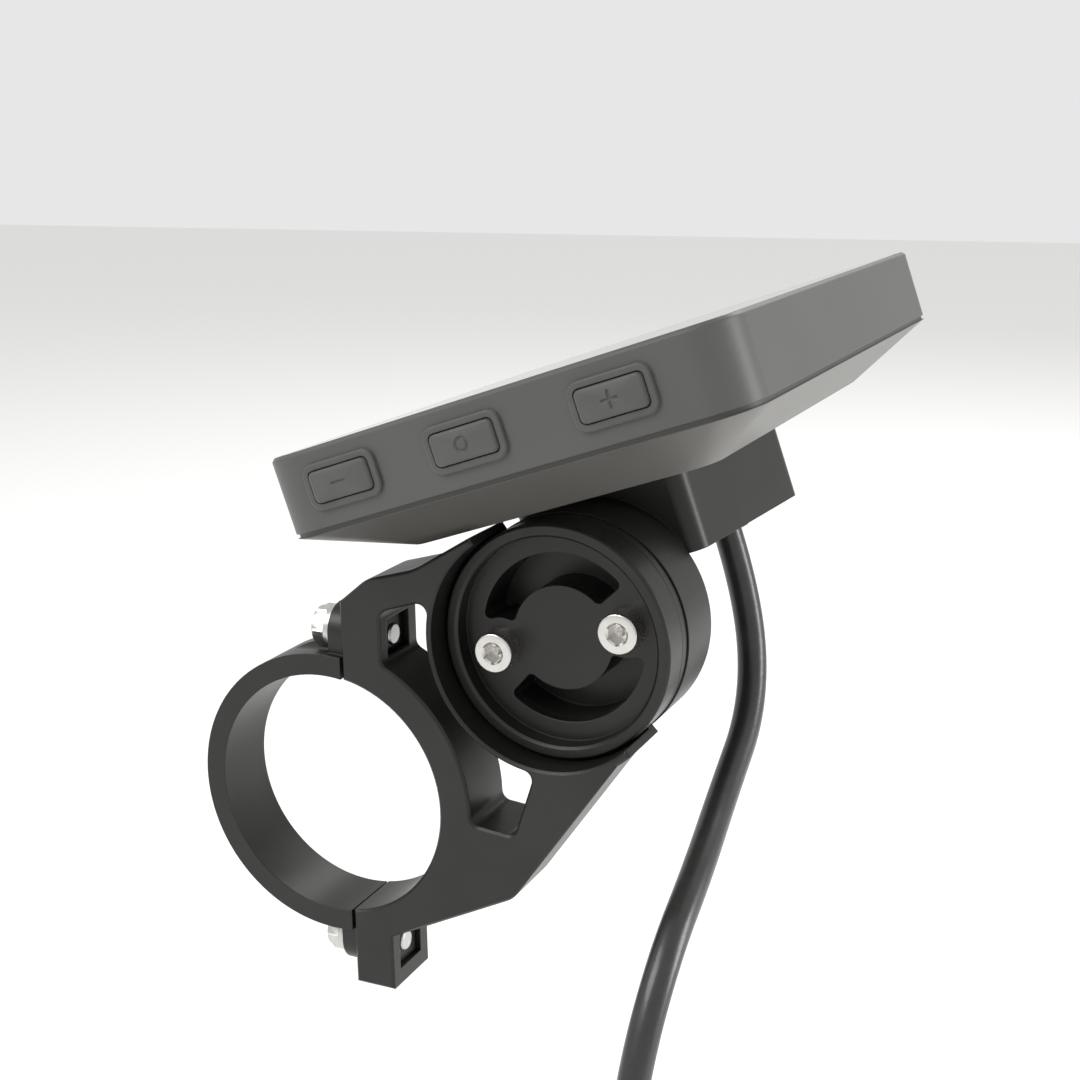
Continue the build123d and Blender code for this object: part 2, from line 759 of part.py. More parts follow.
for name, x in button_places.items():
    with BuildPart() as button:
        with BuildSketch(head_side(head_near - button_proud)):
            with Locations((x, button_z)):
                RectangleRounded(button_length, button_height, button_round)
        extrude(amount=-(pad_back - head_near + button_proud))
        fillet(button.edges().group_by(Axis.Y)[0], radius=button_edge)
        with BuildSketch(head_side(pad_back)):
            with Locations((x, button_z)):
                Rectangle(button_length - 2 * button_gap, flange_height)
        extrude(amount=-(flange_back - pad_back))
        with BuildSketch(head_side(flange_front)):
            with Locations((x, button_z)):
                Rectangle(button_length + 2 * flange_lip, flange_height)
        extrude(amount=-flange_thickness)
    finish(button.part, f"button_{name}")

with BuildPart() as button_seals:
    with BuildSketch(head_side(head_near - seal_proud)):
        with Locations(*button_centres):
            RectangleRounded(
                opening_length + 2 * seal_lip, opening_height + 2 * seal_lip, button_round + seal_lip
            )
    extrude(amount=-seal_proud)
    chamfer(button_seals.edges().group_by(Axis.Y)[0], length=edge_break / 2)
    with BuildSketch(head_side(head_near)):
        with Locations(*button_centres):
            RectangleRounded(sleeve_length, sleeve_height, button_round)
    extrude(amount=-wall)
    with BuildSketch(head_side(head_near - seal_proud)):
        with Locations(*button_centres):
            RectangleRounded(opening_length, opening_height, button_round)
    extrude(amount=-(wall + seal_proud), mode=Mode.SUBTRACT)
finish(button_seals.part, "button_seals")

with BuildPart() as tact_switches:
    with BuildSketch(head_side(switch_front)):
        with Locations(*button_centres):
            Rectangle(switch_size, switch_size)
    extrude(amount=-switch_body)
    with BuildSketch(head_side(plunger_front)):
        with Locations(*button_centres):
            Circle(switch_size / 4)
    extrude(amount=-switch_plunger)
finish(tact_switches.part, "tact_switches")

switch_left = min(button_places.values()) - switch_board_margin
switch_right = max(button_places.values()) + switch_board_margin
switch_top = button_z + switch_size / 2
with BuildPart() as switch_board_piece:
    with BuildSketch(head_side(switch_back)):
        with Locations(((switch_left + switch_right) / 2, (board_top + switch_top) / 2)):
            Rectangle(switch_right - switch_left, switch_top - board_top)
    extrude(amount=-switch_board)
finish(switch_board_piece.part, "switch_board")

# ---- back cover, its gasket and screws, and the foot's seal and screws ------------------------
flat_corner = corner_radius - wall
with BuildPart() as back_cover:
    with BuildSketch(deck(cover_top)):
        add(plan(head_length, head_width, corner_radius))
    with BuildSketch(deck(cover_flat)):
        add(plan(head_length - 2 * cover_inset, head_width - 2 * cover_inset, flat_corner))
    loft()
    with BuildSketch(deck(cover_top)):
        add(plan(inner_length, inner_width, inner_corner))
    with BuildSketch(deck(cover_floor)):
        add(
            plan(
                head_length - 2 * cover_inset - wall,
                head_width - 2 * cover_inset - wall,
                flat_corner - wall / 2,
            )
        )
    loft(mode=Mode.SUBTRACT)
    with BuildSketch(deck(cover_flat)):
        with Locations(*cover_screw_places):
            Circle(m2 + hole_gap)
        with Locations(*foot_screw_places):
            Circle(m3 + hole_gap)
        with Locations((lead_x, lead_y)):
            Circle(lead_radius + hole_gap)
    extrude(amount=floor_wall, mode=Mode.SUBTRACT)
    with BuildSketch(deck(cover_flat)):
        with Locations(*cover_screw_places):
            Circle(m2_head_radius + hole_gap)
    extrude(amount=m2_head, mode=Mode.SUBTRACT)
finish(back_cover.part, "back_cover")

with BuildPart() as cover_gasket:
    with BuildSketch(deck(cover_top)):
        add(
            plan(
                head_length - 2 * gasket_inset,
                head_width - 2 * gasket_inset,
                corner_radius - gasket_inset,
            )
        )
        add(plan(inner_length, inner_width, inner_corner), mode=Mode.SUBTRACT)
    extrude(amount=gasket_height)
finish(cover_gasket.part, "cover_gasket")

with BuildPart() as cover_screws:
    with BuildSketch(deck(cover_flat)):
        with Locations(*cover_screw_places):
            Circle(m2_head_radius)
    extrude(amount=m2_head)
    with BuildSketch(deck(cover_flat)):
        with Locations(*cover_screw_places):
            RegularPolygon(m2_socket / 2, 6, major_radius=False)
    extrude(amount=m2_head / 2, mode=Mode.SUBTRACT)
    with BuildSketch(deck(cover_flat + m2_head)):
        with Locations(*cover_screw_places):
            Circle(m2)
    extrude(amount=cover_screw_length - m2_head)
finish(cover_screws.part, "cover_screws")

with BuildPart() as foot_seal_piece:
    with BuildSketch(deck(foot_top)):
        add(foot_shape(foot_seal_inset))
        with Locations(*foot_screw_places):
            Circle(m3 + hole_gap, mode=Mode.SUBTRACT)
        with Locations((lead_x, lead_y)):
            Circle(lead_radius + hole_gap, mode=Mode.SUBTRACT)
    extrude(amount=foot_seal)
finish(foot_seal_piece.part, "foot_seal")

with BuildPart() as foot_screws:
    with BuildSketch(deck(cover_floor)):
        with Locations(*foot_screw_places):
            Circle(m3_head_radius)
    extrude(amount=m3_low_head)
    with BuildSketch(deck(cover_floor + m3_low_head)):
        with Locations(*foot_screw_places):
            RegularPolygon(m3_socket / 2, 6, major_radius=False)
    extrude(amount=-m3_low_head / 2, mode=Mode.SUBTRACT)
    with BuildSketch(deck(cover_floor)):
        with Locations(*foot_screw_places):
            Circle(m3)
    extrude(amount=-(cover_floor - foot_top + foot_screw_depth))
finish(foot_screws.part, "foot_screws")

# ---- lead: grommet, the tail inside the head, the free lead and its plug ----------------------
with BuildPart() as lead_grommet:
    with BuildSketch(deck(exit_height)):
        with Locations((lead_x, lead_y)):
            Circle(lead_radius + grommet_wall)
            Circle(lead_radius, mode=Mode.SUBTRACT)
    extrude(amount=grommet_collar + grommet_depth)
finish(lead_grommet.part, "lead_grommet")

with BuildPart() as lead_tail:
    with BuildSketch(deck(exit_height)):
        with Locations((lead_x, lead_y)):
            Circle(lead_radius)
    extrude(amount=board_bottom - header_height - exit_height)
finish(lead_tail.part, "lead_tail")

exit_point = head_point(lead_x, lead_y, exit_height)
first_bend = head_point(lead_x, lead_y, exit_height - lead_start)
route = [exit_point, first_bend] + [Vector(*point) for point in lead_points]
runs = [b - a for a, b in zip(route, route[1:])]
radii = [
    arc_share * min(a.length, b.length) / tan(radians(a.get_angle(b)) / 2)
    for a, b in zip(runs, runs[1:])
]
with BuildPart() as lead:
    with BuildLine() as lead_path:
        FilletPolyline(*route, radius=radii)
    with BuildSketch(Plane(origin=exit_point, z_dir=runs[0].normalized())):
        Circle(lead_radius)
    sweep(transition=Transition.ROUND)
finish(lead.part, "lead")
lead_length = sum(edge.length for edge in lead_path.edges())
tube_volume = lead_length * pi * lead_radius**2
print(f"lead length {lead_length:.1f} mm, volume ratio {lead.part.volume / tube_volume:.4f}")
print("lead bends from", [round(value, 2) for value in first_bend])
print("lead runs", [round(run.length, 1) for run in runs])
print("lead radii", [round(radius, 1) for radius in radii])

plug_start = Plane(origin=route[-1], z_dir=runs[-1].normalized())
nose_start = neck_length + plug_length

with BuildPart() as plug_body:
    with BuildSketch(plug_start):
        Circle(neck_radius)
    with BuildSketch(plug_start.offset(neck_length)):
        Circle(plug_radius)
    loft()
    with BuildSketch(plug_start.offset(neck_length)):
        Circle(plug_radius)
    extrude(amount=plug_length)
finish(plug_body.part, "plug_body")

with BuildPart() as plug_insert:
    with BuildSketch(plug_start.offset(nose_start)):
        Circle(nose_radius)
    extrude(amount=nose_length)
    with BuildSketch(plug_start.offset(nose_start + nose_length)):
        Circle(nose_radius - nose_wall)
    extrude(amount=-nose_depth, mode=Mode.SUBTRACT)
finish(plug_insert.part, "plug_insert")

with BuildPart() as plug_pins:
    with BuildSketch(plug_start.offset(nose_start + nose_length - nose_depth)):
        with PolarLocations(pin_circle, pin_count):
            Circle(pin_radius)
    extrude(amount=pin_length)
finish(plug_pins.part, "plug_pins")

with BuildPart() as plug_ring:
    with BuildSketch(plug_start.offset(nose_start)):
        Circle(ring_radius)
        Circle(nose_radius + ring_gap, mode=Mode.SUBTRACT)
    extrude(amount=ring_length)
finish(plug_ring.part, "plug_ring")
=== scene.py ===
"""Cycling computer on a tilting drum mount: the looks, in metres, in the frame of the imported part."""
import json
from math import cos, pi, radians, sin

import bpy
import numpy as np
from mathutils import Matrix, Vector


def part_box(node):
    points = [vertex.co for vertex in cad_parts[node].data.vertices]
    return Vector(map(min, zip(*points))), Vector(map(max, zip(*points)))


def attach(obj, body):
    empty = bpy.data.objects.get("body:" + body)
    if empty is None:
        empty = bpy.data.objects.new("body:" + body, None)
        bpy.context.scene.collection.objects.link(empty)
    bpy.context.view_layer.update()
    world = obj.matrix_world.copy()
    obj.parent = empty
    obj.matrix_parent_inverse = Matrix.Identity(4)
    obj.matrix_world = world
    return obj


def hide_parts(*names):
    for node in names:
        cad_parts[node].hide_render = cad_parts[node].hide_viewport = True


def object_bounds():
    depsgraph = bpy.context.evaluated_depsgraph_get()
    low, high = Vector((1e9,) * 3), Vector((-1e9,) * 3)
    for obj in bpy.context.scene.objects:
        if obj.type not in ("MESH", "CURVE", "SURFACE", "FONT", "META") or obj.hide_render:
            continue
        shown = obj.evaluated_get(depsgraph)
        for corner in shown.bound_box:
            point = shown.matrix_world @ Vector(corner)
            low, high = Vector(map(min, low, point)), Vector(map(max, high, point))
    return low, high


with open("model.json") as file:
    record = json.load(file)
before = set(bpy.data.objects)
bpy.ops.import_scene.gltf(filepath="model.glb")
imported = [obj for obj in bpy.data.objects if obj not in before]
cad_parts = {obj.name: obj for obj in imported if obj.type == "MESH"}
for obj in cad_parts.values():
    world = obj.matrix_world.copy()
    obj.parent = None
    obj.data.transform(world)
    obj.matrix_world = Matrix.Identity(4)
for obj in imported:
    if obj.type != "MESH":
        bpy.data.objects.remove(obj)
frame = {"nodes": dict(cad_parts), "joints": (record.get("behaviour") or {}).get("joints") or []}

cad_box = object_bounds()
tilt_degrees = 18.8

# ---- Camera and studio ------------------------------------------------------------------------
# The camera stands on the near side of the handlebar, a little above the display, and looks
# slightly down. A pale floor lies under the part, and three soft lights stand round it.
camera_place = (0.1184, -0.1860, 0.0919)
camera_right = (0.90663, 0.42162, -0.01601)
camera_down = (0.09208, -0.23474, -0.96769)
camera_forward = (-0.41175, 0.87586, -0.25164)
lens_mm = 54.92
sensor_mm = 36.0

camera = bpy.data.objects.new("camera", bpy.data.cameras.new("camera"))
camera.data.lens = lens_mm
camera.data.sensor_width = sensor_mm
camera.data.clip_start = 0.01
bpy.context.scene.collection.objects.link(camera)
turn = np.array([camera_right, np.negative(camera_down), np.negative(camera_forward)]).T
camera.matrix_world = Matrix.Translation(camera_place) @ Matrix(turn.tolist()).to_4x4()
bpy.context.scene.camera = camera
bpy.context.scene.view_settings.view_transform = "Standard"

floor_drop = 0.03
floor_size = 6.0
room_light = 0.80
bpy.ops.mesh.primitive_plane_add(size=floor_size)
floor = bpy.context.object
floor.name = "studio_floor"
floor.location.z = cad_box[0][2] - floor_drop
floor_paint = bpy.data.materials.new("studio_floor")
floor_paint.use_nodes = True
floor_shader = floor_paint.node_tree.nodes["Principled BSDF"]
floor_shader.inputs["Base Color"].default_value = (0.88, 0.88, 0.87, 1)
floor_shader.inputs["Roughness"].default_value = 0.9
floor.data.materials.append(floor_paint)

world = bpy.data.worlds.new("studio")
bpy.context.scene.world = world
world.use_nodes = True
world.node_tree.nodes["Background"].inputs["Color"].default_value = (1, 1, 1, 1)
world.node_tree.nodes["Background"].inputs["Strength"].default_value = room_light


def softbox(name, place, aim, width, height, watts):
    """Adds a rectangular light at a place, turned to face a point."""
    lamp = bpy.data.lights.new(name, "AREA")
    lamp.shape = "RECTANGLE"
    lamp.size = width
    lamp.size_y = height
    lamp.energy = watts
    holder = bpy.data.objects.new(name, lamp)
    bpy.context.scene.collection.objects.link(holder)
    ray = Matrix.Translation(aim).translation - Matrix.Translation(place).translation
    holder.matrix_world = Matrix.Translation(place) @ ray.to_track_quat("-Z", "Y").to_matrix().to_4x4()


middle = (0.03, 0.02, 0.03)
softbox("key_light", (-0.45, -0.65, 0.75), middle, 0.7, 0.5, 7.0)
softbox("front_light", (0.95, 0.30, 0.05), middle, 0.30, 0.7, 7.0)
softbox("back_light", (0.10, 0.95, 0.80), middle, 0.9, 0.4, 5.0)


# ---- Materials ----------------------------------------------------------------------------------
# Shader nodes are written as sums of wires. Every finish starts from one Principled shader and
# the object's own coordinates, and varies a little over the surface.
class Wire:
    """One output of a node. Arithmetic on wires and numbers adds Math nodes to its tree."""

    def __init__(self, tree, socket=None):
        self.tree = tree
        self.socket = socket

    def add(self, kind, settings, inputs, outlet=0):
        """Adds a node, makes its settings, fills its sockets and returns one of its outputs."""
        node = self.tree.nodes.new(kind)
        for name, value in settings.items():
            setattr(node, name, value)
        for name, value in inputs.items():
            if isinstance(value, Wire):
                self.tree.links.new(value.socket, node.inputs[name])
            else:
                node.inputs[name].default_value = value
        return Wire(self.tree, node.outputs[outlet])

    def math(self, operation, first, second=0.0):
        """One Math node."""
        return self.add("ShaderNodeMath", {"operation": operation}, {0: first, 1: second})

    def __add__(self, other):
        return self.math("ADD", self, other)

    def __sub__(self, other):
        return self.math("SUBTRACT", self, other)

    def __rsub__(self, other):
        return self.math("SUBTRACT", other, self)

    def __mul__(self, other):
        return self.math("MULTIPLY", self, other)

    __radd__ = __add__
    __rmul__ = __mul__


def finish_of(name, color, roughness, metallic=0.0, **constants):
    """A material with one Principled shader. Returns it, its shader and its Object coordinates."""
    material = bpy.data.materials.new(name)
    material.use_nodes = True
    shader = material.node_tree.nodes["Principled BSDF"]
    shader.inputs["Base Color"].default_value = (*color, 1)
    shader.inputs["Roughness"].default_value = roughness
    shader.inputs["Metallic"].default_value = metallic
    for socket, value in constants.items():
        shader.inputs[socket.replace("_", " ")].default_value = value
    start = Wire(material.node_tree)
    return material, shader, start.add("ShaderNodeTexCoord", {}, {}, "Object")


blast_scale = 5200
spark_scale = 4200


def noise(place, scale, detail=3.0, roughness=0.6):
    """Value noise from 0 to 1, with its scale in features per metre."""
    sizes = {"Vector": place, "Scale": scale, "Detail": detail, "Roughness": roughness}
    return place.add("ShaderNodeTexNoise", {}, sizes)


def grain(shader, place, height, depth, edge=0.0):
    """Leads a height to the shader's normal, over edges rounded by a small radius when given."""
    inputs = {"Height": height, "Distance": depth, "Strength": 1.0}
    if edge > 0:
        inputs["Normal"] = place.add("ShaderNodeBevel", {"samples": 6}, {"Radius": edge})
    bump = place.add("ShaderNodeBump", {}, inputs)
    bump.tree.links.new(bump.socket, shader.inputs["Normal"])


def vary(shader, socket, wire):
    """Leads a wire to one of the shader's sockets."""
    wire.tree.links.new(wire.socket, shader.inputs[socket])


def tint(place, factor, dark, pale):
    """A colour between two, by a factor."""
    settings = {"data_type": "RGBA"}
    return place.add("ShaderNodeMix", settings, {0: factor, 6: (*dark, 1), 7: (*pale, 1)}, 2)


def dress(material, slot, *names):
    """Gives CAD nodes a material. The slot argument is not used."""
    for name in names:
        node = frame["nodes"][name]
        node.data.materials.clear()
        node.data.materials.append(material)


# ---- Bracket and clamp cap --------------------------------------------------------------------
# The plate that holds the drum, and the rear half of the clamp. Both are milled from aluminium
# plate, bead blasted and anodised satin black, with small bevelled edges.
anodised, shader, place = finish_of("black_anodised", (0.03, 0.03, 0.028), 0.36, 0.75)
blast = noise(place, blast_scale, 2.0)
haze = noise(place, 90, 4.0)
vary(shader, "Base Color", tint(place, haze, (0.026, 0.026, 0.025), (0.044, 0.043, 0.040)))
vary(shader, "Roughness", 0.30 + haze * 0.12 + blast * 0.04)
grain(shader, place, blast, 0.000012, 0.00022)
dress(anodised, "black_anodised", "bracket_body", "clamp_cap", "tilt_hub")


# ---- Turned shapes ------------------------------------------------------------------------------
# Bolts, screws, keys and the plug's grip are closed surfaces made of rings round an axis.
def wound(name, across, along, origin, axis, side):
    """Closed surface of rings round an axis. Ring i stands along[i] from the origin, and its
    point j lies across[i, j] out, at the angle 2 pi j / steps from the side direction. The first
    and last rings are single points."""
    rings, steps = across.shape
    axis = np.array(axis, float)
    side = np.array(side, float)
    upright = np.cross(axis, side)
    angle = np.linspace(0, 2 * pi, steps, endpoint=False)[None, :, None]
    outward = np.cos(angle) * side + np.sin(angle) * upright
    middles = np.array(origin) + np.asarray(along)[:, None] * axis
    points = middles[:, None, :] + across[:, :, None] * outward
    vertices = np.vstack([middles[:1], points[1:-1].reshape(-1, 3), middles[-1:]])
    here = np.arange(steps)
    ahead = (here + 1) % steps
    rows = 1 + steps * np.arange(rings - 3)[:, None]
    quads = np.stack([rows + here, rows + ahead, rows + steps + ahead, rows + steps + here], -1)
    last = 1 + steps * (rings - 3)
    foot = [(0, 1 + b, 1 + a) for a, b in zip(here.tolist(), ahead.tolist())]
    cap = [(last + a, last + b, len(vertices) - 1) for a, b in zip(here.tolist(), ahead.tolist())]
    mesh = bpy.data.meshes.new(name)
    mesh.from_pydata(vertices.tolist(), [], foot + quads.reshape(-1, 4).tolist() + cap)
    mesh.validate()
    mesh.shade_smooth()
    mesh.set_sharp_from_angle(angle=radians(32))
    piece = bpy.data.objects.new(name, mesh)
    bpy.context.scene.collection.objects.link(piece)
    return piece


def hexagon(flats, steps):
    """Distance from the middle to a hexagon's side at each of the steps round it."""
    angle = np.linspace(0, 2 * pi, steps, endpoint=False)
    return flats / 2 / np.cos((angle + pi / 6) % (pi / 3) - pi / 6)


def add_finish(piece, material, body):
    """Gives a new piece its material and the body that it moves with."""
    piece.data.materials.append(material)
    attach(piece, body)


# ---- Clamp bolts, washers and square nuts -------------------------------------------------------
# Two hexagon bolts pull the clamp's halves together. Each has a chamfered head, a split washer
# and a flat washer, all zinc plated, and turns in a black oxide square nut held in the plate.
zinc, shader, place = finish_of("zinc_plated_steel", (0.60, 0.60, 0.58), 0.30, 1.0)
scuff = noise(place, 1400, 4.0)
vary(shader, "Base Color", tint(place, scuff, (0.42, 0.41, 0.39), (0.68, 0.68, 0.66)))
vary(shader, "Roughness", 0.22 + scuff * 0.22)
grain(shader, place, scuff, 0.00001, 0.0001)
dress(zinc, "zinc_steel", "spring_washers", "flat_washers")

oxide, shader, place = finish_of("black_oxide_steel", (0.03, 0.03, 0.03), 0.4, 0.8)
bloom = noise(place, 900, 3.0)
vary(shader, "Roughness", 0.32 + bloom * 0.2)
dress(oxide, "black_oxide", "square_nuts")

hex_flats = 0.0055
hex_head = 0.0020
bolt_radius = 0.0015
head_chamfer = 0.00035
tip_chamfer = 0.0002
bolt_steps = 96
bolts_low, bolts_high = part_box("clamp_bolts")
bolt_height = (bolts_high.z - bolts_low.z - hex_flats) / 2
flats_round = hexagon(hex_flats, bolt_steps)
bolt_length = bolts_high.x - bolts_low.x
for number, height in enumerate((bolt_height, -bolt_height)):
    crown = np.minimum(flats_round, hex_flats / 2)
    neck = np.full(bolt_steps, bolt_radius)
    tip = np.full(bolt_steps, bolt_radius - tip_chamfer)
    none = np.zeros(bolt_steps)
    across = np.array([none, crown * 0.5, crown, flats_round, flats_round, neck, neck, tip, none])
    along = [0, 0, 0, head_chamfer, hex_head, hex_head]
    along += [bolt_length - tip_chamfer, bolt_length, bolt_length]
    bolt = wound(f"clamp_bolt_{number}", across, along, (bolts_low.x, 0, height), (1, 0, 0), (0, 0, 1))
    add_finish(bolt, zinc, "bracket")
    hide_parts("clamp_bolts")

# ---- Pivot bush and friction washers ------------------------------------------------------------
# Plain low-friction plastic rings between the bracket and the head. They hold the tilt where it
# is put and hardly show.
bearing, shader, place = finish_of("bearing_plastic", (0.60, 0.58, 0.52), 0.5)
mottle = noise(place, 400, 2.0)
vary(shader, "Roughness", 0.42 + mottle * 0.16)
dress(
    bearing, "bearing_plastic", "pivot_bush", "front_friction_washer", "rear_friction_washer"
)

# ---- Drum cap -----------------------------------------------------------------------------------
# The round cap on the near end of the drum, with a raised rim and two crescent slots. Its face
# is turned, so fine rings run round the tilt axis under the black anodising.
pivot = frame["joints"][0]["pos_m"]
turned, shader, place = finish_of("turned_anodised", (0.03, 0.03, 0.028), 0.36, 0.75)
to_pivot = {"Location": (-pivot[0], 0, -pivot[2])}
centred = place.add("ShaderNodeMapping", {"vector_type": "POINT"}, {"Vector": place, **to_pivot})
split = centred.add("ShaderNodeSeparateXYZ", {}, {"Vector": centred}, 0)
upward = Wire(split.tree, split.socket.node.outputs[2])
radius = split.math("SQRT", split * split + upward * upward)
turning_pitch = 42000
rings = split.math("SINE", radius * turning_pitch)
blast = noise(place, blast_scale, 2.0)
haze = noise(place, 90, 4.0)
vary(shader, "Base Color", tint(place, haze, (0.026, 0.026, 0.025), (0.040, 0.039, 0.037)))
vary(shader, "Roughness", 0.29 + haze * 0.12 + rings * 0.02)
grain(shader, place, blast * 0.7 + rings * 0.3, 0.000010, 0.00022)
dress(turned, "black_anodised", "drum_cap")

# ---- Cap screws ---------------------------------------------------------------------------------
# Two stainless M3 socket screws hold the cap to the hub. The head's side is knurled, its rim is
# rounded, and the hexagon socket has a lead-in and a drilled point.
stainless, shader, place = finish_of("stainless_steel", (0.62, 0.61, 0.59), 0.24, 1.0)
stain = noise(place, 900, 4.0)
vary(shader, "Base Color", tint(place, stain, (0.50, 0.48, 0.45), (0.72, 0.71, 0.69)))
vary(shader, "Roughness", 0.16 + stain * 0.20)
grain(shader, place, stain, 0.000006)
dress(stainless, "stainless", "board_screws", "cover_screws", "foot_screws")

screw_circle = 0.0092
screw_lag = 3.8
screw_turn = radians(tilt_degrees - screw_lag)
screw_radius = 0.00275
screw_head = 0.0030
socket_flats = 0.0025
socket_depth = 0.0015
rim_round = 0.00032
socket_point = 0.0005
lead_in_width = 0.00030
lead_in_depth = 0.00022
shank_radius = 0.0015
knurls = 36
knurl_depth = 0.012
screw_steps = 288
screws_low, screws_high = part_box("cap_screws")
turn_round = np.linspace(0, 2 * pi, screw_steps, endpoint=False)
flats_round = hexagon(socket_flats, screw_steps)
circle = np.ones(screw_steps)
quarter = np.linspace(0, pi / 2, 7)
knurled = 1 - knurl_depth * (0.5 + 0.5 * np.cos(knurls * turn_round))
lead_in = (socket_flats / 2 + lead_in_width) * circle
across = [0 * circle, 0.5 * flats_round, flats_round, flats_round, lead_in]
along = [socket_depth + socket_point, socket_depth, socket_depth, lead_in_depth, 0.0]
for bend in quarter:
    across.append((screw_radius - rim_round * (1 - np.sin(bend))) * circle)
    along.append(rim_round * (1 - np.cos(bend)))
across += [screw_radius * circle, screw_radius * knurled, screw_radius * knurled, screw_radius * circle]
along += [0.00045, 0.00055, screw_head - 0.00045, screw_head - 0.00030]
screw_length = screws_high.y - screws_low.y
across += [screw_radius * circle, shank_radius * circle, shank_radius * circle, 0 * circle]
along += [screw_head, screw_head, screw_length, screw_length]
for number, way in enumerate((1, -1)):
    spot = (
        pivot[0] + way * screw_circle * cos(screw_turn),
        screws_low.y,
        pivot[2] + way * screw_circle * sin(screw_turn),
    )
    screw = wound(f"cap_screw_{number}", np.array(across), along, spot, (0, 1, 0), (1, 0, 0))
    add_finish(screw, stainless, "head")
    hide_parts("cap_screws")

# ---- Display housing ----------------------------------------------------------------------------
# The tray that holds the glass and the buttons, moulded in dark grey plastic with a fine spark eroded
# texture. Its edges are rounded slightly in the shading.
housing, shader, place = finish_of("housing_plastic", (0.10, 0.10, 0.095), 0.45)
spark = noise(place, spark_scale, 3.0, 0.7)
cloud = noise(place, 45, 3.0)
vary(shader, "Base Color", tint(place, cloud, (0.060, 0.060, 0.058), (0.082, 0.081, 0.077)))
vary(shader, "Roughness", 0.36 + spark * 0.10 + cloud * 0.05)
grain(shader, place, spark, 0.00002, 0.0003)
dress(housing, "housing_plastic", "display_housing")

# ---- Cover glass, adhesive and panel ------------------------------------------------------------
# A hard flat glass, printed black underneath, lies flush in the housing on a thin adhesive
# frame. The panel and its white backlight tray are behind it.
glass, shader, place = finish_of("black_glass", (0.008, 0.008, 0.009), 0.06, Coat_Weight=0.6)
smear = noise(place, 30, 5.0)
vary(shader, "Roughness", 0.05 + smear * 0.06)
dress(glass, "black_glass", "cover_glass")

panel, shader, place = finish_of("display_panel", (0.015, 0.018, 0.020), 0.15)
layer = noise(place, 60, 2.0)
vary(shader, "Roughness", 0.12 + layer * 0.08)
dress(panel, "lcd", "lcd_panel")

white, shader, place = finish_of("white_plastic", (0.82, 0.82, 0.79), 0.35)
flow = noise(place, 200, 2.0)
vary(shader, "Roughness", 0.30 + flow * 0.12)
dress(white, "white_plastic", "backlight_tray", "lead_header")

# ---- Seals --------------------------------------------------------------------------------------
# Black rubber seals the glass, the foot and the lead. The cover's gasket is grey, close to the
# housing's plastic, so its edge shows only as a faint line.
gasket, shader, place = finish_of("seal_rubber", (0.025, 0.025, 0.025), 0.7)
skin = noise(place, 2500, 3.0)
vary(shader, "Roughness", 0.60 + skin * 0.2)
grain(shader, place, skin, 0.00001)
dress(gasket, "seal_rubber", "glass_adhesive", "foot_seal", "lead_grommet")

grey_gasket, shader, place = finish_of("grey_gasket_rubber", (0.06, 0.06, 0.058), 0.5)
skin = noise(place, 2500, 3.0)
vary(shader, "Roughness", 0.42 + skin * 0.16)
dress(grey_gasket, "seal_rubber", "cover_gasket")

# ---- Electronics --------------------------------------------------------------------------------
# The main board with its chips, the small board behind the buttons, their switches, and the
# brass standoffs, all closed in by the housing and the back cover. The plug's pins are brass too.
board, shader, place = finish_of("circuit_board", (0.02, 0.12, 0.05), 0.3)
tracks = noise(place, 700, 1.0)
vary(shader, "Base Color", tint(place, tracks, (0.012, 0.085, 0.035), (0.035, 0.17, 0.075)))
dress(board, "circuit_board", "main_board", "switch_board")

chip, shader, place = finish_of("chip_plastic", (0.03, 0.03, 0.032), 0.5)
speck = noise(place, 3000, 2.0)
vary(shader, "Roughness", 0.45 + speck * 0.15)
dress(chip, "chip_plastic", "board_chips", "tact_switches")

brass, shader, place = finish_of("turned_brass", (0.76, 0.58, 0.26), 0.25, 1.0)
tarnish = noise(place, 800, 3.0)
vary(shader, "Roughness", 0.2 + tarnish * 0.2)
dress(brass, "brass_inserts", "board_standoffs", "plug_pins")

# ---- Buttons and their seals --------------------------------------------------------------------
# Three silicone rubber keys stand in raised rubber frames on the near wall. Each key is crowned,
# rounded at its rim, and has a plain sign sunk in its face: a bar, a ring and a cross.
rubber, shader, place = finish_of("button_rubber", (0.06, 0.06, 0.058), 0.55, Sheen_Weight=0.15)
pores = noise(place, 3600, 3.0)
wear = noise(place, 300, 3.0)
vary(shader, "Base Color", tint(place, wear, (0.050, 0.050, 0.048), (0.075, 0.074, 0.070)))
vary(shader, "Roughness", 0.42 + pores * 0.14 + wear * 0.06)
grain(shader, place, pores, 0.000018, 0.0002)
dress(rubber, "button_rubber", "button_seals")

tilt = radians(tilt_degrees)
along_wall = np.array([cos(tilt), 0, sin(tilt)])
key_half_length = 0.0045
key_half_height = 0.00205
key_corner = 0.0008
key_rim = 0.0005
key_crown = 0.00022
sign_depth = 0.00022
sign_width = 0.00024
sign_reach = 0.00095
sign_ring = 0.0008
skirt_start = 0.0024
key_steps = 320
inner_rings = 62


def key_outline(angle):
    """Distance from a key's middle to its rounded rectangle, found by halving the interval."""
    low = np.zeros_like(angle)
    high = np.full_like(angle, 2 * key_half_length)
    for _ in range(30):
        half = (low + high) / 2
        x = np.abs(half * np.cos(angle)) - (key_half_length - key_corner)
        y = np.abs(half * np.sin(angle)) - (key_half_height - key_corner)
        outside = np.hypot(np.maximum(x, 0), np.maximum(y, 0)) > key_corner
        low = np.where(outside, low, half)
        high = np.where(outside, half, high)
    return (low + high) / 2


